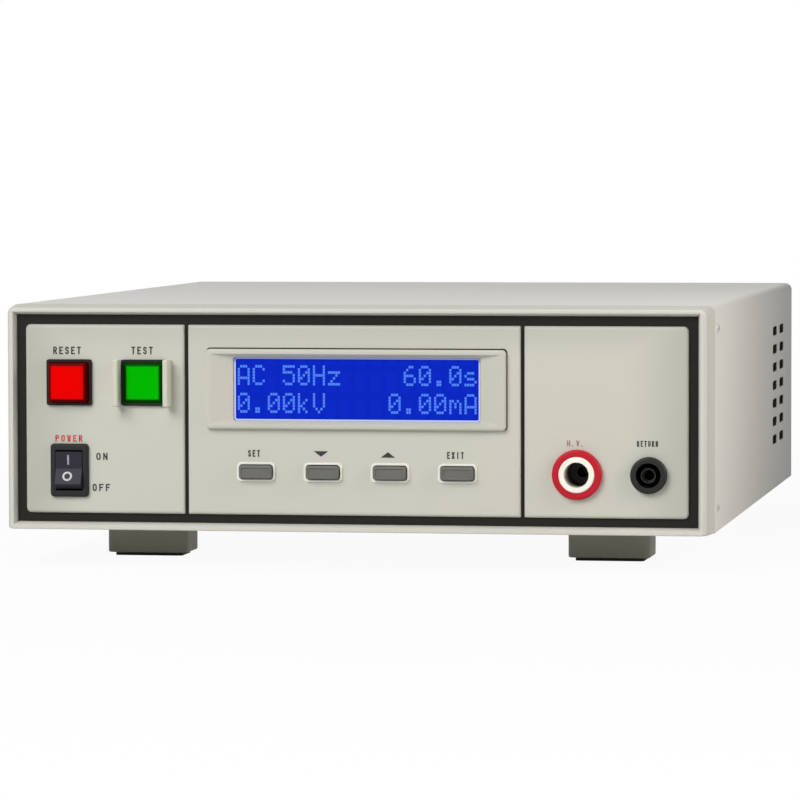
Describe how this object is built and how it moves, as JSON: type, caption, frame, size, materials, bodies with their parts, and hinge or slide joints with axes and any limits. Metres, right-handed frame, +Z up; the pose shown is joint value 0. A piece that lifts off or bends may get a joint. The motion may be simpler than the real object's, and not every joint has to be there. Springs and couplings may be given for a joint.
{
  "type": "hipot tester",
  "caption": "Low bench high-voltage withstand tester with a framed front panel, display, keys, start and reset buttons, output sockets, rear fan and moving controls.",
  "frame": {"origin": "on the ground, under the middle of the whole outline", "axes": "+X to the right seen from the front, +Y from the front panel to the back, +Z up"},
  "size_m": [0.2812, 0.377, 0.1031],
  "materials": {
    "cover_paint": "fine satin texture",
    "chassis_zinc": "zinc plated",
    "rear_paint": "fine satin texture",
    "bezel_plastic": "fine moulded grain",
    "panel_black": "matt",
    "plate_beige": "satin",
    "lcd_frame": "satin",
    "lcd_blue": "clear, lit from behind",
    "pcb_green": "solder mask",
    "spacer_metal": "nickel plated",
    "ring_ivory": "satin",
    "key_grey": "satin",
    "button_black": "satin",
    "cap_red": "translucent look, satin",
    "cap_green": "translucent look, satin",
    "guard_beige": "satin",
    "switch_black": "satin",
    "rocker_black": "satin",
    "terminal_tin": "tinned",
    "socket_red": "satin",
    "socket_white": "satin",
    "contact_brass": "polished",
    "socket_black": "satin",
    "nut_steel": "nickel plated",
    "foot_grey": "matt",
    "pad_rubber": "matt",
    "screw_steel": "nickel plated",
    "core_iron": "varnished laminations",
    "bobbin_cream": "matt",
    "coil_tape": "taped winding",
    "bracket_steel": "zinc plated",
    "toroid_copper": "enamelled wire",
    "toroid_rubber": "matt",
    "sink_alu": "extruded",
    "part_black": "satin",
    "ribbon_grey": "satin",
    "fan_black": "satin",
    "rotor_black": "satin",
    "guard_steel": "plated",
    "inlet_black": "satin",
    "pin_nickel": "nickel plated",
    "fuse_black": "satin",
    "port_tin": "tin plated",
    "stud_brass": "bright"
  },
  "bodies": {
    "case": {"top_cover": "cover_paint", "bottom_chassis": "chassis_zinc", "rear_panel": "rear_paint", "front_bezel": "bezel_plastic", "front_subpanel": "panel_black", "overlay_left": "plate_beige", "overlay_centre": "plate_beige", "overlay_right": "plate_beige", "lcd_bezel": "lcd_frame", "lcd_glass": "lcd_blue", "lcd_module": "pcb_green", "front_spacers": "spacer_metal", "key_rings": "ring_ivory", "key_board": "pcb_green", "reset_housing": "button_black", "test_housing": "button_black", "test_guard": "guard_beige", "power_frame": "switch_black", "power_terminals": "terminal_tin", "hv_flange": "socket_red", "hv_insulator": "socket_white", "hv_contact": "contact_brass", "return_body": "socket_black", "return_contact": "contact_brass", "socket_nuts": "nut_steel", "feet": "foot_grey", "foot_pads": "pad_rubber", "case_screws": "screw_steel", "hv_core": "core_iron", "hv_bobbin": "bobbin_cream", "hv_winding": "coil_tape", "hv_bracket": "bracket_steel", "toroid_winding": "toroid_copper", "toroid_pads": "toroid_rubber", "toroid_plate": "bracket_steel", "toroid_bolt": "screw_steel", "heat_sink": "sink_alu", "amp_board": "pcb_green", "main_board": "pcb_green", "board_parts": "part_black", "board_standoffs": "spacer_metal", "display_ribbon": "ribbon_grey", "fan_frame": "fan_black", "fan_guard": "guard_steel", "iec_inlet": "inlet_black", "inlet_pins": "pin_nickel", "fuse_holder": "fuse_black", "remote_ports": "port_tin", "ground_stud": "stud_brass"},
    "reset_cap": {"reset_cap": "cap_red"},
    "test_cap": {"test_cap": "cap_green"},
    "set_key": {"set_key": "key_grey"},
    "down_key": {"down_key": "key_grey"},
    "up_key": {"up_key": "key_grey"},
    "exit_key": {"exit_key": "key_grey"},
    "power_rocker": {"power_rocker": "rocker_black"},
    "fan_rotor": {"fan_rotor": "rotor_black"},
    "fuse_cap": {"fuse_cap": "fuse_black"}
  },
  "joints": [
    {"name": "reset_press", "type": "slide", "parent": "case", "child": "reset_cap", "axis": [0, 1, 0], "range_m": [0, 0.002], "stiffness_N_per_m": 800},
    {"name": "test_press", "type": "slide", "parent": "case", "child": "test_cap", "axis": [0, 1, 0], "range_m": [0, 0.002], "stiffness_N_per_m": 800},
    {"name": "set_press", "type": "slide", "parent": "case", "child": "set_key", "axis": [0, 1, 0], "range_m": [0, 0.0012], "stiffness_N_per_m": 1000},
    {"name": "down_press", "type": "slide", "parent": "case", "child": "down_key", "axis": [0, 1, 0], "range_m": [0, 0.0012], "stiffness_N_per_m": 1000},
    {"name": "up_press", "type": "slide", "parent": "case", "child": "up_key", "axis": [0, 1, 0], "range_m": [0, 0.0012], "stiffness_N_per_m": 1000},
    {"name": "exit_press", "type": "slide", "parent": "case", "child": "exit_key", "axis": [0, 1, 0], "range_m": [0, 0.0012], "stiffness_N_per_m": 1000},
    {"name": "power_rock", "type": "hinge", "parent": "case", "child": "power_rocker", "pos_m": [-0.11365, -0.1801, 0.03795], "axis": [1, 0, 0], "range_deg": [0, 24]},
    {"name": "fan_spin", "type": "hinge", "parent": "case", "child": "fan_rotor", "pos_m": [0.072, 0.1625, 0.0598], "axis": [0, 1, 0], "continuous": true},
    {"name": "fuse_turn", "type": "hinge", "parent": "case", "child": "fuse_cap", "pos_m": [-0.066, 0.1765, 0.0428], "axis": [0, 1, 0], "range_deg": [0, 45]}
  ]
}
